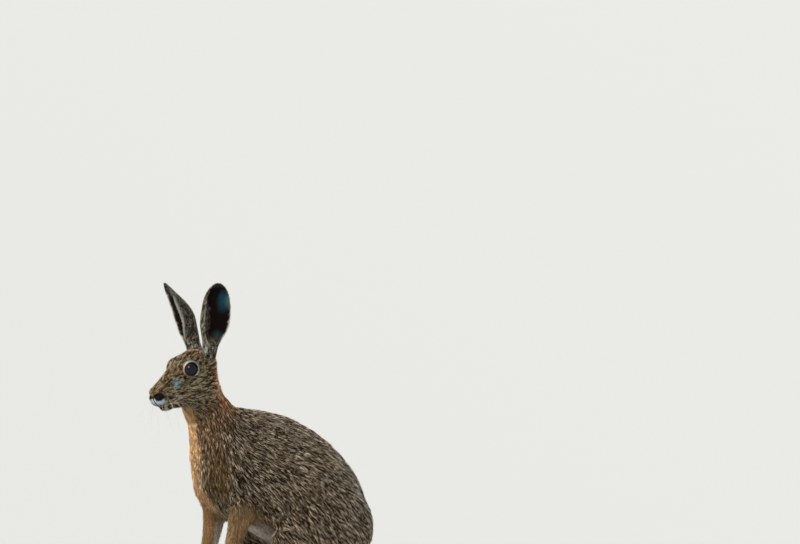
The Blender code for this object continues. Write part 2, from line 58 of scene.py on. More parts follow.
UNIT = 0.00108
SHIFT = np.array((-0.01433625, 0.00006776, 0.0))
SEED = np.random.default_rng(20)

# The head's own frame: back from the nose, left, and up from the mouth's level.
HEAD_PITCH = math.radians(19.0)
HEAD_FORWARD = 159.4
HEAD_UP = 261.4
EYE = (53.0, 15.4, 18.8)
EYE_RADIUS = 10.0
EYE_TURN = math.radians(14.0)
LID_OPENING = (8.3, 7.7)
NOSTRIL = ((0.3, 1.4, -0.6), (1.6, 4.4, 0.8), (4.0, 7.2, 2.4), (7.2, 9.4, 3.2), (9.8, 11.0, 2.8))
MOUTH = ((5.5, 2.0, -15.0), (9.0, 7.5, -16.2), (14.0, 11.5, -16.4), (20.0, 14.0, -15.2))
SPLIT_LIP = ((0.0, 0, 1.0), (1.6, 0, -4.0), (2.8, 0, -8.5), (4.6, 0, -13.5), (6.6, 0, -17.0))

# Each ear: root, lean, the way its cup faces, how far its margins stand before its line, how
# far the open part is set forward, the depth of the cup, and how much higher its outer margin
# stands.
EARS = {
    "ear_left": ((85.0, 11.5, 294), (4.4, 30, 105), (0.0, 1.0, 0.0), 4.0, 1.9, 13, 1.2),
    "ear_right": ((78.2, -12.5, 294), (27.5, -36, 96), (0.934, -0.358, 0.0), 0.0, 0.0, 19, 3.0),
}

# Where a painted cool sheen, standing for a reflection of the sky, lies on the inside of the
# left cup, which is painted dark as shade: its middle along the ear and beside its line, its
# radii, and its strength.
EAR_SHEEN = (((92, -15), (17, 8), 1.0), ((43.5, -11), (7, 6), 0.55))

# Claws: sideways place of each toe and how far it leads, the toe's radii, and the knuckle.
CLAWS = {
    "forepaw": (((-10.0, -4), (-3.6, 1), (3.4, 1), (10.2, -5)), (13.0, 4.6, 6.6), (93, 25, 5.6)),
    "hind_foot": (((-12.0, -6), (-4.2, 1), (4.2, 1), (12.2, -7)), (18.0, 5.2, 7.6), (4, 51.5, 6.2)),
}

# Radius of a whisker at its root and its tip, in metres.
WHISKER = (0.00013, 0.00003)

# The skin: size of its first mesh's cells, how far the solids are grown so that they join
# without a gap, its triangles, and those of the copy that is unwrapped.
SKIN_VOXEL = 0.0008
JOINING = 0.00024
SKIN_TRIANGLES = 190000
UNWRAP_TRIANGLES = 5000

# Length of each ear, and of the patch that a tuft has on its map.
EAR_LENGTH = 116
TUFT_PATCH = 0.003

# The eyelid's rim: half its thickness and the radius of the ball that it follows.
LID_RIM = (0.6, 10.1)

# The view of the photo: degrees round and up, how far away, and how far right and up of the
# hare's place the camera looks. All in metres apart from the degrees.
VIEW = (-33, 5)
VIEW_DISTANCE = 24.06
VIEW_OFFSET = (0.189, 0.4428)

# Each soft light: place, width in degrees of the sky, strength and colour. All aim at one spot.
LIT_SPOT = (-0.05, 0, 0.26)
LIGHTS = {
    "key": ((-1.3, -1.5, 1.9), 22, 1.6, (1.0, 0.96, 0.90)),
    "top": ((0.2, 0.4, 2.2), 50, 1.5, (0.93, 0.97, 1.0)),
    "rim_back": ((1.8, 1.3, 1.3), 14, 2.8, (1.0, 0.99, 0.95)),
    "rim_nose": ((-2.0, 0.9, 1.0), 14, 2.8, (1.0, 0.97, 0.92)),
}


def world(points):
    """Places given as forward, left and up, in metres."""
    return np.asarray(points, float) * (-UNIT, -UNIT, UNIT) + SHIFT


def hare(points):
    """Forward, left and up of places in metres."""
    return (np.asarray(points, float) - SHIFT) / (-UNIT, -UNIT, UNIT)


def head_point(back, left, up):
    """A place given in the head's own frame, in metres."""
    c, s = math.cos(HEAD_PITCH), math.sin(HEAD_PITCH)
    return Vector(world((HEAD_FORWARD - back * c + up * s, left, HEAD_UP + back * s + up * c)))


def head_places(points):
    """Back, left and up in the head's own frame of places in metres."""
    f, left, u = hare(points).T
    c, s = math.cos(HEAD_PITCH), math.sin(HEAD_PITCH)
    return np.stack([(HEAD_FORWARD - f) * c + (u - HEAD_UP) * s, left,
                     (u - HEAD_UP) * c - (HEAD_FORWARD - f) * s], 1)


def head_way(back, left, up):
    """A direction of the head's frame as forward, left and up."""
    c, s = math.cos(HEAD_PITCH), math.sin(HEAD_PITCH)
    return np.stack([-back * c + up * s, left, back * s + up * c], -1)


def ease(value, low, high):
    """Rises smoothly from 0 at low to 1 at high."""
    share = np.clip((np.asarray(value, float) - low) / (high - low), 0, 1)
    return share * share * (3 - 2 * share)


def unit(vectors):
    """Vectors made one long."""
    size = np.linalg.norm(vectors, axis=-1, keepdims=True)
    return vectors / np.maximum(size, 1e-9)


def near(points, centre, radii):
    """1 at the middle of a soft ellipsoid, falling to 0 at its edge."""
    away = np.linalg.norm((points - np.array(centre)) / np.array(radii), axis=1)
    return 1 - ease(away, 0.55, 1.0)


def path_distance(points, path):
    """How far points lie from a line of points."""
    best = np.full(len(points), 1e9)
    path = np.array(path, float)
    for a, b in zip(path, path[1:]):
        share = np.clip(((points - a) @ (b - a)) / ((b - a) @ (b - a)), 0, 1)
        best = np.minimum(best, np.linalg.norm(points - a - share[:, None] * (b - a), axis=1))
    return best


def patches(points, size, seed):
    """Soft patches from -1 to 1 whose size is given along each axis."""
    spots = np.asarray(points) / size + 37.3
    low = np.floor(spots).astype(np.int64)
    part = spots - low
    part = part * part * (3 - 2 * part)
    total = np.zeros(len(spots))
    for corner in np.ndindex(2, 2, 2):
        at = low + corner
        mixed = (at[:, 0] * 73856093) ^ (at[:, 1] * 19349663) ^ (at[:, 2] * 83492791) ^ (seed * 2654435)
        mixed = (mixed ^ (mixed >> 13)) * 1274126177
        value = ((mixed ^ (mixed >> 16)) & 65535) / 32767.5 - 1
        share = np.prod(np.where(np.array(corner), part, 1 - part), axis=1)
        total += value * share
    return total


def piece(name, bm, material, replaces=()):
    """A finished piece made from a bmesh, riding on the root."""
    mesh = bpy.data.meshes.new(name)
    bm.to_mesh(mesh)
    bm.free()
    placed(name, mesh, material, replaces)


def joined(bm, part):
    """Adds the geometry of one bmesh to another and frees it."""
    spare = bpy.data.meshes.new("part")
    part.to_mesh(spare)
    part.free()
    bm.from_mesh(spare)
    bpy.data.meshes.remove(spare)


def placed(name, mesh, material, replaces=()):
    """Puts a mesh in the scene as a piece of the hare."""
    made = bpy.data.objects.new(name, mesh)
    bpy.context.scene.collection.objects.link(made)
    mesh.materials.append(material)
    mesh.shade_smooth()
    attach(made, "root")
    if replaces:
        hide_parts(*replaces)


def evaluated(obj):
    """Turns an object's modifiers into its mesh."""
    graph = bpy.context.evaluated_depsgraph_get()
    mesh = bpy.data.meshes.new_from_object(obj.evaluated_get(graph))
    obj.modifiers.clear()
    obj.data = mesh
    return mesh


def rows(items, key, width, kind=float):
    """One value of each item of a mesh, as rows."""
    values = np.empty(len(items) * width, kind)
    items.foreach_get(key, values)
    return values.reshape(-1, width)


def mesh_places(mesh):
    """The places of a mesh's vertices."""
    return rows(mesh.vertices, "co", 3)


def mesh_normals(mesh):
    """The normals of a mesh's vertices."""
    return rows(mesh.vertex_normals, "vector", 3)


def mesh_edges(mesh):
    """The two ends of each edge."""
    return rows(mesh.edges, "vertices", 2, np.int32)


def mesh_triangles(mesh, key="vertices"):
    """The corners of each triangle."""
    mesh.calc_loop_triangles()
    return rows(mesh.loop_triangles, key, 3, np.int32)


def blurred(values, ends, passes, share=0.5):
    """Values of the vertices, each drawn towards the mean of its neighbours."""
    count = np.bincount(ends.ravel(), minlength=len(values))[:, None].clip(1)
    share = np.broadcast_to(np.asarray(share, float).reshape(-1, 1), (len(values), 1))
    for _ in range(passes):
        total = np.stack(
            [np.bincount(ends[:, 0], column[ends[:, 1]], len(values))
             + np.bincount(ends[:, 1], column[ends[:, 0]], len(values)) for column in values.T], 1)
        values = values + (total / count - values) * share
    return values


# The skin

REGIONS = ("head", "neck", "torso", "tail", "ear_left", "ear_right", "foreleg", "forepaw",
           "thigh", "hind_foot")


def toe_centres(kind, side):
    """Centre of each toe of a paw, in metres."""
    spread, radii, knuckle = CLAWS[kind]
    for left, lead in spread:
        yield world((knuckle[0] + lead, side * (knuckle[1] + left), knuckle[2]))


def clawless(bm, name):
    """Draws the claws of a paw's copy back onto the tips of its toes."""
    kind = "forepaw" if name.startswith("fore") else "hind_foot"
    side = 1 if name.endswith("left") else -1
    radii = np.array(CLAWS[kind][1]) * UNIT
    for centre in toe_centres(kind, side):
        for v in bm.verts:
            gap = (np.array(v.co) - centre) / radii
            ahead = -gap[0]
            size = np.linalg.norm(gap)
            if ahead > 0.6 and 0.98 < size < 1.9 and abs(gap[1]) < 0.62 and abs(gap[2]) < 0.9:
                v.co = Vector(centre + gap / size * 0.96 * radii)


def flesh_shell():
    """All nodes of flesh as one closed surface, before the depth of the coat is taken off."""
    bm = bmesh.new()
    for name, node in frame["nodes"].items():
        if name.startswith("eye"):
            continue
        part = bmesh.new()
        part.from_mesh(node.data)
        bmesh.ops.remove_doubles(part, verts=part.verts, dist=1e-6)
        if "paw" in name or "foot" in name:
            clawless(part, name)
        part.normal_update()
        moves = [(v, v.normal * JOINING) for v in part.verts]
        for v, move in moves:
            v.co += move
        joined(bm, part)
    mesh = bpy.data.meshes.new("skin")
    bm.to_mesh(mesh)
    bm.free()
    shell = bpy.data.objects.new("skin", mesh)
    bpy.context.scene.collection.objects.link(shell)
    remesh = shell.modifiers.new("Join", "REMESH")
    remesh.mode = "VOXEL"
    remesh.voxel_size = SKIN_VOXEL * 1
    evaluated(shell)
    return shell


def regions_at(places):
    """The region of each place, read from the nearest node of flesh."""
    points, faces, owners = [], [], []
    for name, node in frame["nodes"].items():
        if name.startswith("eye"):
            continue
        region = next(i for i, r in enumerate(REGIONS) if name.startswith(r))
        base = len(points)
        points += [v.co.copy() for v in node.data.vertices]
        faces += [[base + k for k in p.vertices] for p in node.data.polygons]
        owners += [region] * len(node.data.polygons)
    tree = BVHTree.FromPolygons(points, faces)
    return np.array([owners[tree.find_nearest(p)[2]] for p in places.tolist()])


def ear_places(name, points):
    """Share along an ear, and how far before its margins and beside its line, in units."""
    root, lean, facing, rim, ahead, _, fuller = EARS[name]
    along = unit(np.array(lean, float))
    opening = np.array(facing, float)
    opening = unit(opening - along * (opening @ along))
    beside = np.cross(opening, along)
    if along[1] < 0:
        beside = -beside
    gap = hare(points) - root
    share = gap @ along / EAR_LENGTH
    opened = ease(share, 0.24, 0.6)
    margin = 7.5 + (rim - 7.5) * opened - rim * 0.5 * ease(share, 0.7, 1.0)
    past = gap @ beside - ahead * opened
    full = np.interp(share, (0.34, 0.41, 0.5, 0.61, 0.75, 0.85), (0, 0.7, 1.0, 0.85, 0.3, 0))
    margin = margin + fuller * full * ease(-past, 0, 8)
    return share, gap @ opening - margin, past, along, opening, beside


def ear_fringe(name, points):
    """1 where long hairs stand on the front margin of an ear and less on its rear margin."""
    share, before, beside, *_ = ear_places(name, points)
    front = ease(beside, -4, 4)
    return front * ease(before, -1.7, -0.7) * ease(share, 0.28, 0.4) * ease(1.0 - share, 0.12, 0.3)


# Depth of the coat over the skin, length, width and lift of its tufts, and tufts per square
# millimetre, for each region. Sizes in millimetres, the lift in degrees.
COAT = {
    "head": (1.9, 4.4, 0.66, 20, 1.3),
    "neck": (4.6, 10.0, 0.85, 26, 0.74),
    "torso": (6.2, 12.5, 0.95, 27, 0.55),
    "tail": (6.5, 16.0, 1.0, 30, 0.60),
    "ear_left": (0.3, 2.8, 0.38, 10, 1.9),
    "ear_right": (0.3, 2.8, 0.38, 10, 1.9),
    "foreleg": (2.4, 6.5, 0.7, 22, 0.9),
    "forepaw": (1.7, 5.0, 0.7, 20, 1.0),
    "thigh": (5.6, 11.5, 0.92, 27, 0.56),
    "hind_foot": (2.0, 6.5, 0.75, 20, 0.9),
}


def coat_sizes(points, normals, weights):
    """Depth, length, width, lift and number of tufts at places of the skin."""
    sizes = weights @ np.array([COAT[r] for r in REGIONS])
    at = head_places(points)
    at[:, 1] = abs(at[:, 1])
    f, _, u = hare(points).T
    on_head = weights[:, 0]
    breast = ease(f, 55, 95) * ease(u, 60, 110) * weights[:, 2]
    belly = weights[:, 2] * ease(-normals[:, 2], 0.2, 0.8)
    sizes[:, 0] += 1.6 * breast
    sizes[:, 1] += 3.0 * breast + 4 * belly
    bare = np.maximum(near(at, (4, 4, -4), (17, 15, 17)), near(at, EYE, (17, 17, 16)))
    bare *= on_head
    sizes[:, 0] *= 1 - 0.8 * bare
    sizes[:, 1] *= 1 - 0.52 * bare
    sizes[:, 2] *= 1 - 0.3 * bare
    sizes[:, 3] *= 1 - 0.35 * bare
    sizes[:, 4] *= 1 + 0.6 * bare
    gape = np.minimum(path_distance(at, NOSTRIL), path_distance(at, MOUTH))
    sizes[:, 0] *= np.where(on_head > 0.5, 0.25 + 0.75 * ease(gape, 2, 8), 1)
    eye = np.linalg.norm(at - EYE, axis=1)
    sizes[:, 0] *= np.where(on_head > 0.5, 0.1 + 0.9 * ease(eye, 12.0, 17), 1)
    for k, name in ((4, "ear_left"), (5, "ear_right")):
        fringe = ear_fringe(name, points) * weights[:, k]
        sizes[:, 1] *= 1 + 0.8 * fringe
        sizes[:, 3] += 22 * fringe
        sizes[:, 4] *= 1 + 0.8 * fringe
        inside = ear_inside(name, points, normals) * weights[:, k] * (1 - fringe)
        sizes[:, 4] *= 1 - 0.5 * inside
        sizes[:, 1] *= 1 - 0.3 * inside
    sole = (weights[:, 7] + weights[:, 9]) * ease(-normals[:, 2], 0.3, 0.9)
    sizes[:, 0] *= 1 - 0.75 * sole
    sizes[:, 1] *= 1 - 0.6 * sole
    return sizes


def make_skin():
    """The one skin of the hare and the share that each region has in its places."""
    shell = flesh_shell()
    points = mesh_places(shell.data)
    ends = mesh_edges(shell.data)
    on_ear = np.zeros(len(points))
    for name in EARS:
        share, _, beside, *_ = ear_places(name, points)
        on_ear = np.maximum(on_ear, ease(share, 0.1, 0.3) * ease(40 - abs(beside), 0, 5))
    at = head_places(points)
    face = ease(96 - at[:, 0], 0, 30) * ease(at[:, 2], -60, -30)
    stiff = np.maximum(on_ear, face * 0.8)
    points = blurred(points, ends, 3, 0.5 - 0.3 * stiff)
    points = blurred(points, ends, 14, 0.5 * (1 - stiff))
    shell.data.vertices.foreach_set("co", points.ravel())
    shell.data.update()
    thin = shell.modifiers.new("Thin", "DECIMATE")
    wanted = SKIN_TRIANGLES
    thin.ratio = min(1.0, wanted / (2 * len(shell.data.polygons)))
    thin.use_collapse_triangulate = True
    mesh = evaluated(shell)

    points = mesh_places(mesh)
    normals = mesh_normals(mesh)
    ends = mesh_edges(mesh)
    weights = blurred(np.eye(len(REGIONS))[regions_at(points)], ends, 24)
    sizes = coat_sizes(points, normals, weights)
    depth = blurred(sizes[:, :1], ends, 6)
    points = points - normals * depth / 1000
    for _ in range(3):
        points = blurred(points, ends, 1, 0.3 * ease(depth[:, 0], 1.0, 3.0))
    points[:, 2] = np.maximum(points[:, 2], 0.0003)
    mesh.vertices.foreach_set("co", points.ravel())
    mesh.update()
    return shell, weights


# The markings

COLOURS = {
    "agouti": (0.175, 0.122, 0.074),
    "back": (0.190, 0.140, 0.096),
    "flank": (0.165, 0.115, 0.068),
    "low_flank": (0.150, 0.095, 0.058),
    "shoulder": (0.140, 0.098, 0.058),
    "arm": (0.120, 0.070, 0.024),
    # orange breast: its own colour, made bright as painted rim light
    "breast": (0.800, 0.480, 0.230),
    "throat": (0.560, 0.300, 0.130),
    "russet": (0.300, 0.120, 0.045),
    "neck_side": (0.160, 0.088, 0.038),
    "belly": (0.820, 0.760, 0.660),
    "rump": (0.165, 0.152, 0.135),
    "leg": (0.440, 0.260, 0.120),
    "foot": (0.440, 0.290, 0.160),
    "sole": (0.300, 0.200, 0.110),
    "face": (0.165, 0.098, 0.040),
    "bridge": (0.190, 0.092, 0.030),
    "crown": (0.150, 0.068, 0.022),
    "muzzle": (0.170, 0.122, 0.062),
    "cheek": (0.205, 0.160, 0.092),
    "jaw": (0.105, 0.074, 0.034),
    "dark": (0.010, 0.008, 0.007),
    # pale fur with a painted cool tint of sky light
    "pale": (0.270, 0.450, 0.480),
    "eye_ring": (0.540, 0.480, 0.400),
    # the pale eye ring's own colour with a painted cool tint of sky light
    "cool_ring": (0.560, 0.620, 0.660),
    # white lip with a painted blue reflection of the sky
    "lip": (0.400, 0.530, 0.720),
    "ear_back": (0.105, 0.092, 0.060),
    "ear_tube": (0.070, 0.060, 0.038),
    # darker towards the tip: partly the ear's real dark tip, partly painted shade of the backlit ear
    "ear_tip_dark_and_shade": (0.014, 0.020, 0.018),
    # painted shade of the backlit ear, laid above the ear's tube
    "ear_backlit_shade": (0.014, 0.010, 0.006),
    # painted shade: the inside of the ear's cup, near black
    "ear_in": (0.010, 0.005, 0.004),
    "ear_sheen": (0.020, 0.090, 0.130),
    "ear_glint": (0.120, 0.210, 0.190),
    "ear_edge": (0.640, 0.600, 0.520),
    "black": (0.010, 0.008, 0.007),
    "white": (0.860, 0.850, 0.820),
}


def painted(base, colour, share):
    """Lays a colour over the base by a share for each place."""
    share = np.clip(share, 0, 1)[:, None]
    return base * (1 - share) + np.array(COLOURS[colour]) * share


def layered(base, layers):
    """Lays colours over the base one after the other, each by its own share."""
    for colour, share in layers:
        base = painted(base, colour, share)
    return base


def eye_places(at):
    """How far behind, above and before an eye's centre places of the head's frame lie."""
    gaze = unit(np.array((-0.2092, 0.9703, 0.1355)))
    behind = unit(np.array((1.0, 0, 0)) - gaze * gaze[0])
    above = np.cross(behind, gaze)
    gap = at - EYE
    return gap @ behind, gap @ above, gap @ gaze


def body_markings(points, normals, weights):
    """Colours of the trunk, neck, legs and feet, and how grizzled the coat is."""
    f, left, u = hare(points).T
    side = abs(left)
    up = normals[:, 2]
    ahead = -normals[:, 0]
    spot = np.stack([f, side, u], 1)
    wave = 9 * patches(points, 0.03, 3)
    neck, tail, legs, thigh = weights[:, 1], weights[:, 3], weights[:, 6], weights[:, 8]
    feet = weights[:, 7] + weights[:, 9]
    arm = near(spot, (88, 32, 162), (24, 26, 62))
    nape = ease(0.86 * (u - 252) - 0.5 * (f - 70) + 0.35 * wave, -22, 8) * ease(95 - f, 0, 14)
    # painted rim light: the far right side counts as nearer the middle and more forward-facing, so the
    # bright breast and throat reach far round it
    rim_lit_sweep = np.where(left < 0, -0.25 * left, left)
    facing = ease(ahead + 0.5 * ease(-left, 0, 14), 0.55, 0.8)
    front = facing * ease(13 - rim_lit_sweep + 0.4 * wave, 0, 9) * ease(f, 40, 70)
    low = ease(96 - u + 0.8 * wave, 0, 26)
    under = ease(-up, 0.1, 0.6) * ease(130 - u, 0, 30) * ease(40 - side, 0, 14) * weights[:, 2]
    inner = ease(normals[:, 1] * np.sign(left), 0.1, 0.7)
    base = np.tile(np.array(COLOURS["agouti"]), (len(points), 1))
    base = layered(base, (
        ("back", ease(u + wave, 150, 230) * ease(up, 0.1, 0.8) * ease(-f, -45, 10)),
        ("rump", ease(-f + wave, 60, 130)),
        ("flank", ease(150 - u + wave, 0, 50) * ease(up, 0.5, -0.2)),
        ("low_flank", near(spot, (50, 60, 130), (34, 50, 44))),
        ("shoulder", near(spot, (58, 40, 190), (48, 60, 70))),
        ("arm", arm),
        ("neck_side", neck),
        ("russet", nape * ease(u, 238, 262) * ease(ahead, 0.55, -0.15)),
        # the breast's own orange with painted rim light on its far side
        ("breast", front * ease(u, 60, 100)),
        ("throat", front * ease(u + wave, 215, 262)),
        ("leg", low * ease(f, -40, 30) * weights[:, 2]),
        ("belly", under),
        ("leg", legs * ease(140 - u + wave, 0, 30)),
        ("belly", 0.7 * legs * inner * ease(ahead, 0.4, -0.2)),
        ("foot", feet),
        ("sole", feet * ease(-up, 0.3, 0.8)),
        ("leg", 0.75 * thigh * ease(64 - u + wave, 0, 40)),
        ("white", tail),
        ("black", tail * ease(up + 0.02 * wave, 0.25, 0.5)),
    ))
    plain = feet + tail + under + 0.7 * legs + 0.4 * front + 0.6 * arm
    grizzle = 1 - np.clip(plain, 0, 1)
    grizzle = grizzle * (1 - 0.45 * neck)
    return base, grizzle


def head_markings(points, normals, base, grizzle, weights):
    """Colours of the head over those of the body."""
    at = head_places(points)
    # painted rim light: the throat's colour reaches further round the far right side
    rim_lit_sweep = np.where(at[:, 1] < 0, -0.3 * at[:, 1], at[:, 1])
    at[:, 1] = abs(at[:, 1])
    b, _, u = at.T
    head = weights[:, 0]
    wave = patches(points, 0.012, 5)
    throat = ease(-u + 1.5 * wave, 25, 30) * ease(17 - rim_lit_sweep, 0, 12)
    whorl = near(at, (68, 26, -4), (7, 12, 8)) * ease(patches(at, 3.2, 24), -0.5, 0.1)
    curl = near(at, (47, 9, 31), (12, 10, 6)) * ease(patches(at, np.array((3.5, 4, 2)), 23), 0.0, 0.3)
    stripe = np.clip(1.1 - np.linalg.norm((at - (29.2, 16.3, 9.0)) / (8, 9, 9), axis=1), 0, 1)
    x, y, deep = eye_places(at)
    outside = ease(deep, -2, 3)
    reach = np.hypot(x - 1.2, 1.07 * y)
    under = ease(-y - 0.9 * x, 4.5, 9)
    shadow = (0.35 + 0.4 * ease(x, -4, 6)) * ease(16.5 - reach, 0, 5)
    lid_crease_shade = ease(-y - 0.3 * x, 3, 8) * ease(reach, 10.8, 11.6) * ease(14.6 - reach, 0, 1)
    ring = ease(reach, 9.2, 9.8) * ease(11.7 - reach - 0.4 * ease(x, 2, 8), 0, 0.9) * outside
    lip = near(at, (3.5, 8, -5.2), (7.5, 11, 5.2))
    nose = np.linalg.norm((at - (4.6, 8.6, 0.3)) / (7.0, 7.8, 5.6), axis=1)
    mouth = np.minimum(path_distance(at, MOUTH), path_distance(at, SPLIT_LIP))
    face = np.tile(np.array(COLOURS["face"]), (len(points), 1))
    face = layered(face, (
        ("bridge", ease(u - 0.42 * b + 1.5 * wave, 4, 11) * ease(46 - b, 0, 14)),
        ("crown", ease(u + 2 * wave, 26, 34) * ease(b, 34, 50)),
        ("muzzle", near(at, (20, 14, -4), (17, 14, 15))),
        ("cheek", near(at, (56, 24, -8), (26, 30, 26))),
        ("jaw", ease(-u + 1.5 * wave, 15, 24)),
        ("neck_side", ease(-u + 1.5 * wave, 26, 31)),
        ("throat", throat),
        ("russet", ease(b - 0.25 * u + 2 * wave, 71, 80) * ease(12 - u, 0, 20)),
        ("dark", 1.2 * curl + 0.9 * whorl),
        # pale patch before the eye: its own pale colour with a painted cool tint of sky light
        ("pale", stripe),
        ("cheek", 0.8 * near(at, (17.5, 13.5, 5.5), (7, 7, 5))),
        ("dark", shadow * outside),
        # painted shade in the crease under the lower lid
        ("dark", 0.95 * lid_crease_shade * outside),
        ("eye_ring", ring * (1 - 0.72 * under)),
        # rear of the eye ring: its own pale colour with a painted cool tint of sky light
        ("cool_ring", 0.9 * ring * ease(x, 2, 8) * (1 - under)),
        ("dark", ease(9.5 - reach, 0, 0.5) * outside),
        # the white upper lip, its own colour with a painted blue reflection of the sky
        ("lip", 1.5 * lip),
        ("white", 1.4 * near(at, (1.5, 0, -6.8), (5.5, 6.5, 7.2))),
        ("white", near(at, (18, 4, -23), (12, 9, 6))),
        # the dark nostril, widened with painted shade beneath the fold of the nostril
        ("dark", ease(1.06 - nose + 0.05 * wave, 0, 0.2)),
        ("dark", 0.95 * ease(2.3 - mouth, 0, 0.9)),
    ))
    share = ease(head, 0.35, 0.65)[:, None]
    base = base * (1 - share) + face * share
    plain = 0.35 * ease(-u, 26, 31) + 0.5 * throat
    smooth = np.clip(ring + lip + 0.6 * stripe + ease(1.3 - nose, 0, 0.3) + plain, 0, 1)
    grizzle = grizzle * (1 - share[:, 0]) + share[:, 0] * (1 - smooth)
    return base, grizzle


def ear_inside(name, points, normals):
    """1 on the inner face of an ear's cup and 0 on its back."""
    share, before, beside, _, opening, across = ear_places(name, points)
    cup = EARS[name][5]
    to_middle = -beside[:, None] * across + (-0.35 * cup - before)[:, None] * opening
    return ease(((normals * (-1, -1, 1)) * unit(to_middle)).sum(1), 0.0, 0.4) * ease(share, 0.3, 0.4)


def ear_markings(points, normals, base, grizzle, weights):
    """Colours of the ears: brown backs, cups painted dark with shade, pale margins and black tips."""
    for k, name in ((4, "ear_left"), (5, "ear_right")):
        share, before, beside, *_ = ear_places(name, points)
        inside = ear_inside(name, points, normals)
        wave = patches(points, 0.004, 9)
        fine = patches(points, 0.0018, 19)
        turned_in = 1.0 if name == "ear_left" else 0.4
        spot = np.stack([share * EAR_LENGTH, beside], 1)
        # partly the real dark of the tip, partly painted shade of the backlit ear, reaching lower on
        # the far right ear
        dusk = ease(share + 0.04 * wave, 0.38 + 0.2 * turned_in, 0.60 + 0.3 * turned_in)
        tube = ease(0.38 - share, 0, 0.06)
        slit = beside - np.interp(share, (0.2, 0.28, 0.33, 0.385, 0.42), (5.5, 4.6, 3.0, -2.4, -6.0))
        front = ease(before, -9, -4) * ease(share, 0.1, 0.2) * ease(0.44 - share, 0, 0.06) * turned_in
        glint = np.linalg.norm((spot - (92, -20)) / (12, 4.5), axis=1)
        strip = beside - np.interp(share, (0.34, 0.5, 0.66, 0.78, 0.86), (1.0, -1.5, 0.5, 6.8, 12.0))
        strip = inside * ease(strip + 1.6 * fine, -0.6, 0.8) * turned_in
        wide = 1.0 + 2.4 * ease(0.05 - abs(share - 0.385), 0, 0.03)
        edge = ease(before + 0.3 * wave, -0.9 * wide, -0.2 * wide) * ease(share, 0.3, 0.4)
        edge = edge * (0.12 + 0.88 * ease(-beside, -5, 5))
        sheen = []
        for centre, radii, strength in EAR_SHEEN * (name == "ear_left"):
            away = np.linalg.norm((spot - centre) / radii, axis=1)
            sheen.append(("ear_sheen", inside * strength * np.clip(1.2 - away, 0, 1)))
        ear = np.tile(np.array(COLOURS["ear_back"]), (len(points), 1))
        ear = layered(ear, (
            # painted shade: the ear above its tube darkened, strongly on the far right ear and weakly
            # on the left
            ("ear_backlit_shade", ease(share, 0.28, 0.38) * (1.2 - turned_in)),
            ("ear_tip_dark_and_shade", dusk),
            ("ear_tube", tube),
            ("ear_edge", 0.5 * front * ease(3.2 - abs(slit - 4.4) + fine, 0, 2)),
            # painted shade: a dark line down the slit between the ear's rolled margins
            ("dark", front * ease(2.6 - abs(slit), 0, 1.2)),
            # painted shade fills the inside of the cup
            ("ear_in", inside),
            *sheen,
            ("ear_glint", inside * np.clip(1.1 - glint + 0.2 * fine, 0, 1) * turned_in),
            ("ear_tube", strip),
            ("ear_edge", edge),
            ("black", ease(share + 0.02 * wave + 0.03 * (1 - inside), 0.88, 0.95)),
        ))
        mix = ease(weights[:, k], 0.35, 0.7)[:, None]
        base = base * (1 - mix) + ear * mix
        bare_back = 0.35 + 0.65 * np.maximum(tube * (1.4 - turned_in), turned_in)
        hairy = np.maximum((1 - inside) * bare_back, strip)
        grizzle = grizzle * (1 - mix[:, 0]) + mix[:, 0] * hairy * (1 - edge)
    return base, grizzle


def markings(points, normals, weights):
    """The colour of the coat at places of the skin, and how grizzled it is."""
    base, grizzle = body_markings(points, normals, weights)
    base, grizzle = head_markings(points, normals, base, grizzle, weights)
    return ear_markings(points, normals, base, grizzle, weights)


# The lie of the coat

LIE = {
    "neck": (-0.30, 0, -0.95),
    "torso": (-0.80, 0, -0.50),
    "tail": (-0.88, 0, -0.47),
    "foreleg": (0.05, 0, -1.0),
    "forepaw": (0.85, 0, -0.5),
    "thigh": (-0.62, 0, -0.78),
    "hind_foot": (0.95, 0, -0.25),
}


def lie_of_coat(points, normals, weights):
    """The way the fur lies at places of the skin, in metres' axes, not yet along the skin."""
    f, _, u = hare(points).T
    at = head_places(points)
    flow = np.zeros((len(points), 3))
    for k, region in enumerate(REGIONS):
        if region == "head":
            round_eye = at.copy()
            round_eye[:, 1] = abs(round_eye[:, 1])
            away = unit(round_eye - EYE)
            share = np.clip(1 - np.linalg.norm(round_eye - EYE, axis=1) / 26, 0, 1)
            low = ease(-at[:, 2], -4, 22)
            back = 1 + 0.9 * share * away[:, 0]
            down = -0.35 * low + 0.9 * share * away[:, 2]
            way = head_way(back, 0 * back, down)
        elif region.startswith("ear"):
            _, _, beside, along, opening, across = ear_places(region, points)
            out = 0.3 * np.clip(beside / 25, -1, 1)[:, None] * across
            way = along + out + 1.1 * ear_fringe(region, points)[:, None] * opening
        else:
            way = np.tile(np.array(LIE[region], float), (len(points), 1))
            if region == "torso":
                ahead = ease(f, 38, 88)[:, None]
                way = way * (1 - ahead) + np.array((-0.12, 0, -1.0)) * ahead
                way[:, 2] -= 0.35 * ease(200 - u, 0, 90) * (1 - ahead[:, 0])
        flow += way * weights[:, k : k + 1]
    return flow * (-1, -1, 1)


# The fur

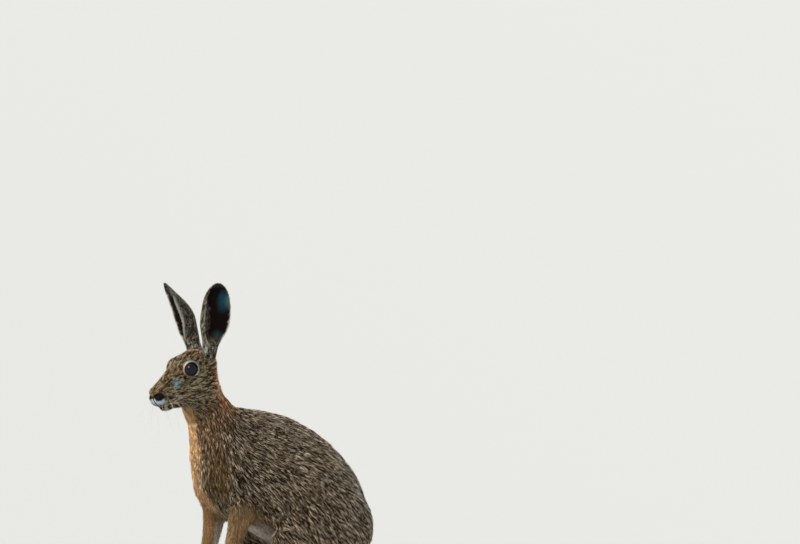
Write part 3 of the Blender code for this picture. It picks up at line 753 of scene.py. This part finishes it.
def skin_sites(mesh, density):
    """Places of tufts, spread evenly over the skin by the number wanted on each part."""
    corners = mesh_triangles(mesh)
    points = mesh_places(mesh)
    a, b, c = (points[corners[:, i]] for i in range(3))
    area = np.linalg.norm(np.cross(b - a, c - a), axis=1) / 2 * 1e6
    wanted = area * density[corners].mean(1)
    spots = ((a + b + c) / 3 - points.min(0)) / 0.001
    spots = spots.astype(np.int64)
    order = np.zeros(len(spots), np.int64)
    for bit in range(9):
        for axis in range(3):
            order |= ((spots[:, axis] >> bit) & 1) << (3 * bit + axis)
    queue = np.argsort(order, kind="stable")
    total = np.cumsum(wanted[queue])
    marks = np.arange(int(total[-1])) + SEED.random(int(total[-1]))
    tri = queue[np.searchsorted(total, marks).clip(0, len(queue) - 1)]
    one, two = SEED.random(len(tri)), SEED.random(len(tri))
    flip = one + two > 1
    one[flip], two[flip] = 1 - one[flip], 1 - two[flip]
    return corners[tri], np.stack([1 - one - two, one, two], 1)


def at_sites(values, corners, shares):
    """Values of the skin's vertices read at the tufts' places."""
    return np.einsum("nk,nkc->nc", shares, values[corners])


def map_places(skin, places):
    """Where places of the skin lie on an unwrap of a thinned copy of it."""
    copy = bpy.data.objects.new("unwrap", skin.data.copy())
    bpy.context.scene.collection.objects.link(copy)
    thin = copy.modifiers.new("Thin", "DECIMATE")
    thin.ratio = UNWRAP_TRIANGLES / len(skin.data.polygons)
    evaluated(copy)
    bpy.context.view_layer.objects.active = copy
    copy.select_set(True)
    bpy.ops.object.mode_set(mode="EDIT")
    bpy.ops.mesh.select_all(action="SELECT")
    bpy.ops.uv.smart_project(angle_limit=math.radians(66), island_margin=0.002)
    bpy.ops.object.mode_set(mode="OBJECT")
    mesh = copy.data
    points = mesh_places(mesh)
    corners = mesh_triangles(mesh)
    flat = rows(mesh.uv_layers.active.data, "uv", 2)[mesh_triangles(mesh, "loops")]
    tree = BVHTree.FromPolygons(points.tolist(), corners.tolist())
    bpy.data.objects.remove(copy)
    hits = [tree.find_nearest(p) for p in places.tolist()]
    face = np.array([h[2] for h in hits])
    spot = np.array([h[0] for h in hits])
    a, b, c = (points[corners[face, i]] for i in range(3))
    normal = np.cross(b - a, c - a)
    size = (normal**2).sum(1).clip(1e-18)
    two = (np.cross(spot - a, c - a) * normal).sum(1) / size
    three = (np.cross(b - a, spot - a) * normal).sum(1) / size
    shares = np.stack([1 - two - three, two, three], 1).clip(0, 1)
    return (flat[face] * shares[:, :, None]).sum(1)


def fur(name, root, normal, flow, length, width, lift, bend, colours, spot, rings, material):
    """One piece of tufts: closed three-sided spikes, bent along the skin and tapered."""
    count = len(root)
    along = flow - normal * (flow * normal).sum(1)[:, None]
    along = unit(along)
    side = np.cross(normal, along)
    centre = root - normal * (0.4 * width)[:, None]
    rows = []
    for ring in range(rings + 1):
        share = ring / rings
        angle = (lift - bend * share)[:, None]
        way = along * np.cos(angle) + normal * np.sin(angle)
        if ring:
            centre = centre + way * (length / rings)[:, None]
        if ring == rings:
            rows.append(centre[:, None, :])
            continue
        half = 0.42 if ring == 0 and rings > 1 else 0.5
        half = (width * half * (1 - 0.25 * (share > 0.6)))[:, None]
        raised = normal * np.cos(angle) - along * np.sin(angle)
        rows.append(np.stack([centre + side * half, centre + raised * half * 0.8,
                              centre - side * half], 1))
    places = np.concatenate(rows, 1)
    places[:, :, 2] = np.maximum(places[:, :, 2], 0.0002)
    per = places.shape[1]
    faces = [(0, 1, 2)]
    for ring in range(rings - 1):
        for k in range(3):
            n = (k + 1) % 3
            one, two = 3 * ring + k, 3 * ring + n
            faces += [(one, one + 3, two + 3), (one, two + 3, two)]
    last = 3 * (rings - 1)
    faces += [(last + k, per - 1, last + (k + 1) % 3) for k in range(3)]
    corners = (np.array(faces)[None] + np.arange(count)[:, None, None] * per).reshape(-1)
    mesh = bpy.data.meshes.new(name)
    mesh.vertices.add(count * per)
    mesh.vertices.foreach_set("co", places.astype(np.float32).ravel())
    mesh.loops.add(len(corners))
    mesh.loops.foreach_set("vertex_index", corners.astype(np.int32))
    mesh.polygons.add(len(corners) // 3)
    mesh.polygons.foreach_set("loop_start", np.arange(0, len(corners), 3, dtype=np.int32))
    mesh.update(calc_edges=True)
    shades = np.ones((count, per, 4))
    for ring in range(rings):
        shades[:, 3 * ring : 3 * ring + 3, :3] = colours[:, ring][:, None]
    shades[:, per - 1, :3] = colours[:, rings]
    layer = mesh.attributes.new("Markings", "FLOAT_COLOR", "POINT")
    layer.data.foreach_set("color", shades.astype(np.float32).ravel())
    low, high = spot.min(0), spot.max(0)
    spot = 0.012 + (spot - low) / np.maximum(high - low, 1e-6) * 0.976
    rising = (k // 3 / rings - 0.5 + 0.7 / 3 * (k % 3 == 1) for k in range(per))
    patch = np.array([((k % 3 - 1) * 1.3 / 3, rise) for k, rise in enumerate(rising)]) * TUFT_PATCH
    patch[per - 1] = (0.0, TUFT_PATCH / 2)
    marks = (spot[:, None] + patch[None]).reshape(-1, 2)[corners]
    layer = mesh.uv_layers.new(name="OFBake")
    layer.data.foreach_set("uv", marks.astype(np.float32).ravel())
    placed(name, mesh, material)


def new_material(name):
    """A new material with its nodes, its links and its shader."""
    made = bpy.data.materials.new(name)
    made.use_nodes = True
    nodes = made.node_tree.nodes
    return made, nodes, made.node_tree.links, nodes["Principled BSDF"]


def add_bump(made, scale, detail, strength, distance):
    """Breaks a finish up with fine noise in its bump."""
    nodes, links = made.node_tree.nodes, made.node_tree.links
    spot = nodes.new("ShaderNodeTexCoord")
    noise = nodes.new("ShaderNodeTexNoise")
    noise.inputs["Scale"].default_value = scale
    noise.inputs["Detail"].default_value = detail
    bump = nodes.new("ShaderNodeBump")
    bump.inputs["Strength"].default_value = strength
    bump.inputs["Distance"].default_value = distance
    links.new(spot.outputs["Object"], noise.inputs["Vector"])
    links.new(noise.outputs["Fac"], bump.inputs["Height"])
    links.new(bump.outputs["Normal"], nodes["Principled BSDF"].inputs["Normal"])


def fur_material(name, roughness, gloss):
    """Fur that takes its colour from the markings of its tufts."""
    made, nodes, links, shader = new_material(name)
    marks = nodes.new("ShaderNodeAttribute")
    marks.attribute_name = "Markings"
    links.new(marks.outputs["Color"], shader.inputs["Base Color"])
    shader.inputs["Roughness"].default_value = roughness
    shader.inputs["Specular IOR Level"].default_value = gloss
    return made


def skin_material():
    """The skin under the coat: the same markings, mottled, with the bump of very short fur."""
    made = fur_material("skin_fur", 0.8, 0.06)
    add_bump(made, 900.0, 3.0, 0.5, 0.0004)
    return made


def turned(points, slope, along, across):
    """Patches drawn out along a slope of the hare's side."""
    f, left, u = points.T
    c, s = math.cos(slope), math.sin(slope)
    return patches(np.stack([c * f + s * u, c * u - s * f, left], 1),
                   np.array((along, across, across)), round(100 * slope + along))


def streaks(points, weights):
    """Light and dark streaks of the coat, drawn out the way the fur lies."""
    places = hare(points)
    low, steep = math.radians(33), math.radians(78)
    back = 0.7 * turned(places, low, 4.5, 1.1) + 0.15 * turned(places, low, 9.0, 3.0)
    front = 0.7 * turned(places, steep, 4.5, 1.1) + 0.15 * turned(places, steep, 9.0, 3.0)
    ahead = np.clip(ease(places[:, 0], 30, 70) + weights[:, 1] + weights[:, 6], 0, 1)
    tone = back * (1 - ahead) + front * ahead
    at = head_places(points)
    long, across = np.array((3.4, 1.5, 1.5)), np.array((7.0, 3.0, 3.0))
    face = 1.7 * patches(at, long, 16) + 0.2 * patches(at, across, 17)
    tone = np.where(weights[:, 0] > 0.5, face, tone)
    for k, name in ((4, "ear_left"), (5, "ear_right")):
        share, before, beside, *_ = ear_places(name, points)
        spot = np.stack([share * EAR_LENGTH, beside, before], 1)
        fine = patches(spot, np.array((3.6, 1.4, 1.4)), 18)
        tone = np.where(weights[:, k] > 0.5, fine, tone)
    return tone


def grizzled(base, grizzle, tone, weights):
    """The coat's colour with its dark and its pale hairs laid in by their tone."""
    dark = ease(-tone, -0.10, 0.25) * grizzle
    light = ease(tone, 0.25, 0.55) * grizzle
    on_head = weights[:, :1]
    deep = base * np.array((0.10, 0.05, 0.02))
    glow = np.array((0.60, 0.54, 0.43)) * (1 - on_head) + np.array((0.44, 0.39, 0.27)) * on_head
    pale = np.minimum(base * 1.3 + glow, 0.85)
    mixed = base * (1 + 0.3 * np.clip(tone, -1, 1))[:, None]
    mixed = mixed + (deep - mixed) * 0.92 * dark[:, None]
    return mixed + (pale - mixed) * 0.95 * light[:, None]


def tuft_colours(root, normals, weights, rings, reach):
    """Colours along each tuft: the middle and the tip each read where that part of the tuft lies, the
    root a darker copy of the middle.
    """
    base, grizzle = markings(root, normals, weights)
    chance = SEED.random(len(root)) * 2 - 1
    base = base * ((1 + 0.16 * chance) * (1 + 0.15 * patches(root, 0.02, 14)))[:, None]
    tone = streaks(root + 0.5 * reach, weights) + 0.6 * chance - 0.10
    middle = grizzled(base, grizzle, tone, weights)
    tone = streaks(root + 0.9 * reach, weights) + 1.2 * chance + 0.14
    tip = grizzled(base, grizzle, tone, weights)
    for k, name in ((4, "ear_left"), (5, "ear_right")):
        fringe = ear_fringe(name, root) * ease(weights[:, k], 0.4, 0.7)
        share = fringe * (0.5 if name == "ear_left" else 0.9)
        tip = painted(tip, "ear_edge", share)
    tip = tip * (1.12 - 0.3 * (grizzle * (chance < -0.3))[:, None])
    if rings == 1:
        return np.stack([middle * 0.8, tip], 1)
    return np.stack([middle * 0.45, middle, tip], 1)


COAT_PIECES = (
    ("coat_head", ("head",), 1, "grizzled_coat"),
    ("coat_neck", ("neck",), 2, "russet_coat"),
    ("coat_back_left", ("torso",), 2, "grizzled_coat"),
    ("coat_back_right", ("torso",), 2, "grizzled_coat"),
    ("coat_front_left", ("torso",), 2, "grizzled_coat"),
    ("coat_front_right", ("torso",), 2, "grizzled_coat"),
    ("coat_tail", ("tail",), 2, "tail_fur"),
    ("coat_ear_left", ("ear_left",), 1, "ear_fur"),
    ("coat_ear_right", ("ear_right",), 1, "ear_fur"),
    ("coat_forelegs", ("foreleg", "forepaw"), 1, "paw_fur"),
    ("coat_thigh_left", ("thigh",), 2, "grizzled_coat"),
    ("coat_thigh_right", ("thigh",), 2, "grizzled_coat"),
    ("coat_feet", ("hind_foot",), 1, "paw_fur"),
)


def make_coat(skin, weights):
    """All the tufts of the coat, in one piece for each part of the hare."""
    mesh = skin.data
    points, normals = mesh_places(mesh), mesh_normals(mesh)
    sizes = coat_sizes(points, normals, weights)
    density = sizes[:, 4] * 1.0
    corners, shares = skin_sites(mesh, density)
    root = at_sites(points, corners, shares)
    normal = unit(at_sites(normals, corners, shares))
    weight = at_sites(weights, corners, shares)
    size = at_sites(sizes, corners, shares)
    flow = unit(lie_of_coat(root, normal, weight))
    jitter = SEED.normal(0, 0.13, root.shape)
    flow = unit(flow + jitter)
    at = head_places(root)
    at[:, 1] = abs(at[:, 1])
    x, y, deep = eye_places(at)
    open_eye = (np.hypot(x, y) < 9.6) & (deep > 0)
    bare = open_eye | (path_distance(at, NOSTRIL) < 3.2)
    inside_head = (weight[:, 0] > 0.5) & bare
    strongest = weight.argmax(1)
    spot = map_places(skin, root)
    material = fur_material("fur", 0.8, 0.03)
    ahead, leftward, _ = hare(root).T
    for name, regions, rings, slot in COAT_PIECES:
        keep = np.isin(strongest, [REGIONS.index(r) for r in regions]) & ~inside_head
        if regions == ("torso",):
            keep &= (ahead >= 20) == ("front" in name)
        if regions in (("torso",), ("thigh",)):
            keep &= (leftward >= 0) == ("left" in name)
        count = keep.sum()
        vary = SEED.uniform(0.75, 1.2, count)
        lift = np.radians(size[keep, 3] * SEED.uniform(0.75, 1.3, count))
        length = size[keep, 1] / 1000 * vary
        colours = tuft_colours(root[keep], normal[keep], weight[keep], rings,
                               flow[keep] * length[:, None])
        fur(name, root[keep], normal[keep], flow[keep], length,
            size[keep, 2] / 1000 * SEED.uniform(0.8, 1.25, count), lift,
            lift * (0.85 if rings > 1 else 0.0), colours, spot[keep], rings, material)


def paint_skin(skin, weights):
    """Gives the skin its markings and its material."""
    mesh = skin.data
    base, grizzle = markings(mesh_places(mesh), mesh_normals(mesh), weights)
    mottle = 1 + 0.25 * patches(mesh_places(mesh), 0.0025, 21)
    shades = np.ones((len(base), 4))
    # painted shade: the skin is darker than the coat, most where the coat is grizzled, so the gaps
    # between tufts look deep
    shades[:, :3] = base * (mottle * (0.75 - 0.35 * grizzle))[:, None]
    layer = mesh.attributes.new("Markings", "FLOAT_COLOR", "POINT")
    layer.data.foreach_set("color", shades.astype(np.float32).ravel())
    mesh.materials.clear()
    mesh.materials.append(skin_material())
    mesh.shade_smooth()
    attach(skin, "root")
    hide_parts(*[n for n in frame["nodes"] if not n.startswith("eye")])


# Eyes, claws and whiskers

def eye_frame(side):
    """Turns the +Z axis to an eye's gaze and stands at its centre."""
    centre = head_point(EYE[0], side * EYE[1], EYE[2])
    gaze = Vector((-math.sin(EYE_TURN), -side * math.cos(EYE_TURN), 0.06)).normalized()
    return Matrix.Translation(centre) @ gaze.to_track_quat("Z", "Y").to_matrix().to_4x4()


def ramp(nodes, stops):
    """A colour ramp with the given places and colours."""
    made = nodes.new("ShaderNodeValToRGB")
    band = made.color_ramp
    while len(band.elements) < len(stops):
        band.elements.new(0.5)
    for element, (place, colour) in zip(band.elements, stops):
        element.position = place
        element.color = (*colour, 1)
    return made


def eye_material():
    """Dark amber iris with a wide pupil, whose centre holds a painted blue-violet reflection of the
    sky, under a wet, clear surface.
    """
    made, nodes, links, shader = new_material("hare_eye")
    gaze = nodes.new("ShaderNodeUVMap")
    gaze.uv_map = "Gaze"
    reach = nodes.new("ShaderNodeVectorMath")
    reach.operation = "DISTANCE"
    reach.inputs[1].default_value = (0.5, 0.5, 0)
    # painted reflection: the pupil's centre is blue-violet, a painted reflection of the sky
    bands = ramp(nodes, ((0.0, (0.006, 0.008, 0.026)), (0.25, (0.003, 0.004, 0.012)),
                         (0.31, (0.030, 0.013, 0.007)), (0.37, (0.042, 0.019, 0.009)),
                         (0.41, (0.006, 0.004, 0.004)), (0.5, (0.012, 0.009, 0.008))))
    links.new(gaze.outputs["UV"], reach.inputs[0])
    links.new(reach.outputs["Value"], bands.inputs["Fac"])
    links.new(bands.outputs["Color"], shader.inputs["Base Color"])
    shader.inputs["Roughness"].default_value = 0.3
    shader.inputs["Specular IOR Level"].default_value = 0.05
    shader.inputs["Coat Weight"].default_value = 0.42
    shader.inputs["Coat Roughness"].default_value = 0.02
    return made


def make_eyes():
    """Both eyeballs, with a slightly raised cornea."""
    material = eye_material()
    for side, hand in ((1, "left"), (-1, "right")):
        bm = bmesh.new()
        bmesh.ops.create_uvsphere(bm, u_segments=48, v_segments=32, radius=EYE_RADIUS * UNIT)
        layer = bm.loops.layers.uv.new("Gaze")
        for face in bm.faces:
            for loop in face.loops:
                x, y, _ = loop.vert.co / (EYE_RADIUS * UNIT)
                loop[layer].uv = (0.5 + x / 2, 0.5 + y / 2)
        for v in bm.verts:
            raised = float(ease(v.co.z / (EYE_RADIUS * UNIT), 0.55, 1.0))
            v.co.z += 0.0005 * raised
        bmesh.ops.transform(bm, matrix=eye_frame(side), verts=bm.verts)
        piece("eyeball_" + hand, bm, material, ("eye_" + hand,))


def plain_material(name, colour, roughness, scale=600.0, strength=0.15):
    """A plain finish with a little noise in its bump."""
    made, _, _, shader = new_material(name)
    shader.inputs["Base Color"].default_value = (*colour, 1)
    shader.inputs["Roughness"].default_value = roughness
    add_bump(made, scale, 2.0, strength, 0.0003)
    return made


def make_lids():
    """The dark, wet rim of each pair of lids."""
    material = plain_material("lid_rim", (0.018, 0.012, 0.010), 0.35)
    for side, hand in ((1, "left"), (-1, "right")):
        bm = bmesh.new()
        ring = bmesh.ops.create_circle(bm, segments=8, radius=LID_RIM[0] * UNIT)["verts"]
        turn = Matrix.Translation((LID_OPENING[0] * UNIT, 0, 0)) @ Matrix.Rotation(math.pi / 2, 4, "X")
        bmesh.ops.transform(bm, matrix=turn, verts=ring)
        bmesh.ops.spin(bm, geom=bm.verts[:] + bm.edges[:], cent=(0, 0, 0), axis=(0, 0, 1),
                       angle=2 * math.pi, steps=40, use_merge=True)
        bmesh.ops.remove_doubles(bm, verts=bm.verts, dist=1e-6)
        for v in bm.verts:
            reach = math.hypot(v.co.x, v.co.y)
            depth = math.sqrt(max((LID_RIM[1] * UNIT) ** 2 - reach**2, 0)) + v.co.z
            v.co.y *= LID_OPENING[1] / LID_OPENING[0] * (1 - 0.16 * (v.co.x / reach) ** 2)
            v.co.z = depth
        bmesh.ops.recalc_face_normals(bm, faces=bm.faces)
        bmesh.ops.transform(bm, matrix=eye_frame(side), verts=bm.verts)
        piece("lid_rim_" + hand, bm, material)


def make_claws():
    """Dark horn claws, pointing a little down, rooted in the toes."""
    material = plain_material("claw_horn", (0.045, 0.032, 0.024), 0.38, 300.0)
    for kind, (spread, radii, knuckle) in CLAWS.items():
        for side, hand in ((1, "left"), (-1, "right")):
            bm = bmesh.new()
            for left, lead in spread:
                made = bmesh.ops.create_cone(bm, segments=8, cap_ends=True, radius1=1.7 * UNIT,
                                             radius2=0.4 * UNIT, depth=8.2 * UNIT)["verts"]
                turn = Matrix.Rotation(math.radians(-102), 4, "Y")
                spot = world((knuckle[0] + lead + radii[0] - 0.8, side * (knuckle[1] + left), 4.4))
                bmesh.ops.transform(bm, matrix=Matrix.Translation(spot) @ turn, verts=made)
            bmesh.ops.recalc_face_normals(bm, faces=bm.faces)
            piece("claws_" + kind + "_" + hand, bm, material)


def make_whiskers(skin):
    """Long pale whiskers on the pads of the muzzle, and a few short hairs over each eye."""
    tree = BVHTree.FromObject(skin, bpy.context.evaluated_depsgraph_get())
    material = plain_material("whisker", (0.62, 0.60, 0.52), 0.45, 600.0, 0.0)
    for side, hand in ((1, "left"), (-1, "right")):
        hairs = []
        for row in range(4):
            for k in range(4):
                back = k / 3 + SEED.normal(0, 0.08)
                root = head_point(7 + 5.4 * k + row, side * 14, -1.5 - 3.2 * row)
                way = head_way(-0.75 + 1.75 * back, side * (0.62 - 0.40 * back),
                               -0.85 + 0.05 * back - 0.06 * row + SEED.normal(0, 0.10))
                hairs.append((root, way, (32 + 22 * back + SEED.normal(0, 4)) / 1000))
        for k in range(3):
            root = head_point(45 + 3 * k, side * 20, 33)
            hairs.append((root, head_way(0.9, side * 0.45, 0.5 + 0.1 * k), (9 + 2 * k) / 1000))
        bm = bmesh.new()
        for root, way, length in hairs:
            spot = Vector(tree.find_nearest(root)[0])
            way = Vector(way * (-1, -1, 1)).normalized()
            hair = bmesh.new()
            bmesh.ops.create_cone(hair, segments=4, cap_ends=True, radius1=WHISKER[0],
                                  radius2=WHISKER[1], depth=length)
            long_ones = [e for e in hair.edges if e.calc_length() > length / 2]
            bmesh.ops.subdivide_edges(hair, edges=long_ones, cuts=9)
            turn = way.to_track_quat("Z", "Y").to_matrix()
            for v in hair.verts:
                share = v.co.z / length + 0.5
                v.co = spot + turn @ Vector((v.co.x, v.co.y, share * length))
                v.co.z -= 0.30 * length * share * share
            joined(bm, hair)
        bmesh.ops.recalc_face_normals(bm, faces=bm.faces)
        piece("whiskers_" + hand, bm, material)


# The studio

def soft_light(name, spot, width, strength, colour):
    """A broad, even light from far away, its width given in degrees of the sky."""
    data = bpy.data.lights.new(name, "SUN")
    data.angle, data.energy, data.color = math.radians(width), strength, colour
    made = bpy.data.objects.new(name, data)
    made.location = spot
    made.rotation_euler = (Vector(LIT_SPOT) - Vector(spot)).to_track_quat("-Z", "Y").to_euler()
    bpy.context.scene.collection.objects.link(made)


def studio():
    """Floor, lights and the camera of the photograph's view."""
    bm = bmesh.new()
    bmesh.ops.create_grid(bm, x_segments=2, y_segments=2, size=40.0)
    mesh = bpy.data.meshes.new("floor")
    bm.to_mesh(mesh)
    bm.free()
    floor = bpy.data.objects.new("floor", mesh)
    bpy.context.scene.collection.objects.link(floor)
    mesh.materials.append(plain_material("floor", (0.37, 0.37, 0.36), 0.9, 60.0, 0.02))
    background = bpy.data.worlds.new("studio")
    background.use_nodes = True
    shade = background.node_tree.nodes["Background"]
    shade.inputs["Color"].default_value = (0.86, 0.88, 0.90, 1)
    shade.inputs["Strength"].default_value = 0.55
    bpy.context.scene.world = background
    bpy.context.scene.view_settings.view_transform = "Standard"
    for name, setting in LIGHTS.items():
        soft_light(name, *setting)
    turn, rise = (math.radians(angle) for angle in VIEW)
    back = Vector((math.sin(turn) * math.cos(rise), -math.cos(turn) * math.cos(rise), math.sin(rise)))
    right = Vector((math.cos(turn), math.sin(turn), 0))
    upward = back.cross(right)
    target = Vector(SHIFT) + right * VIEW_OFFSET[0] + upward * VIEW_OFFSET[1]
    data = bpy.data.cameras.new("camera")
    data.lens, data.sensor_width = 800, 36
    data.clip_end = 90
    camera = bpy.data.objects.new("camera", data)
    camera.location = target + back * VIEW_DISTANCE
    camera.rotation_euler = back.to_track_quat("Z", "Y").to_euler()
    bpy.context.scene.collection.objects.link(camera)
    bpy.context.scene.camera = camera


def main():
    studio()
    skin, weights = make_skin()
    paint_skin(skin, weights)
    make_coat(skin, weights)
    make_eyes()
    make_lids()
    make_claws()
    make_whiskers(skin)


main()
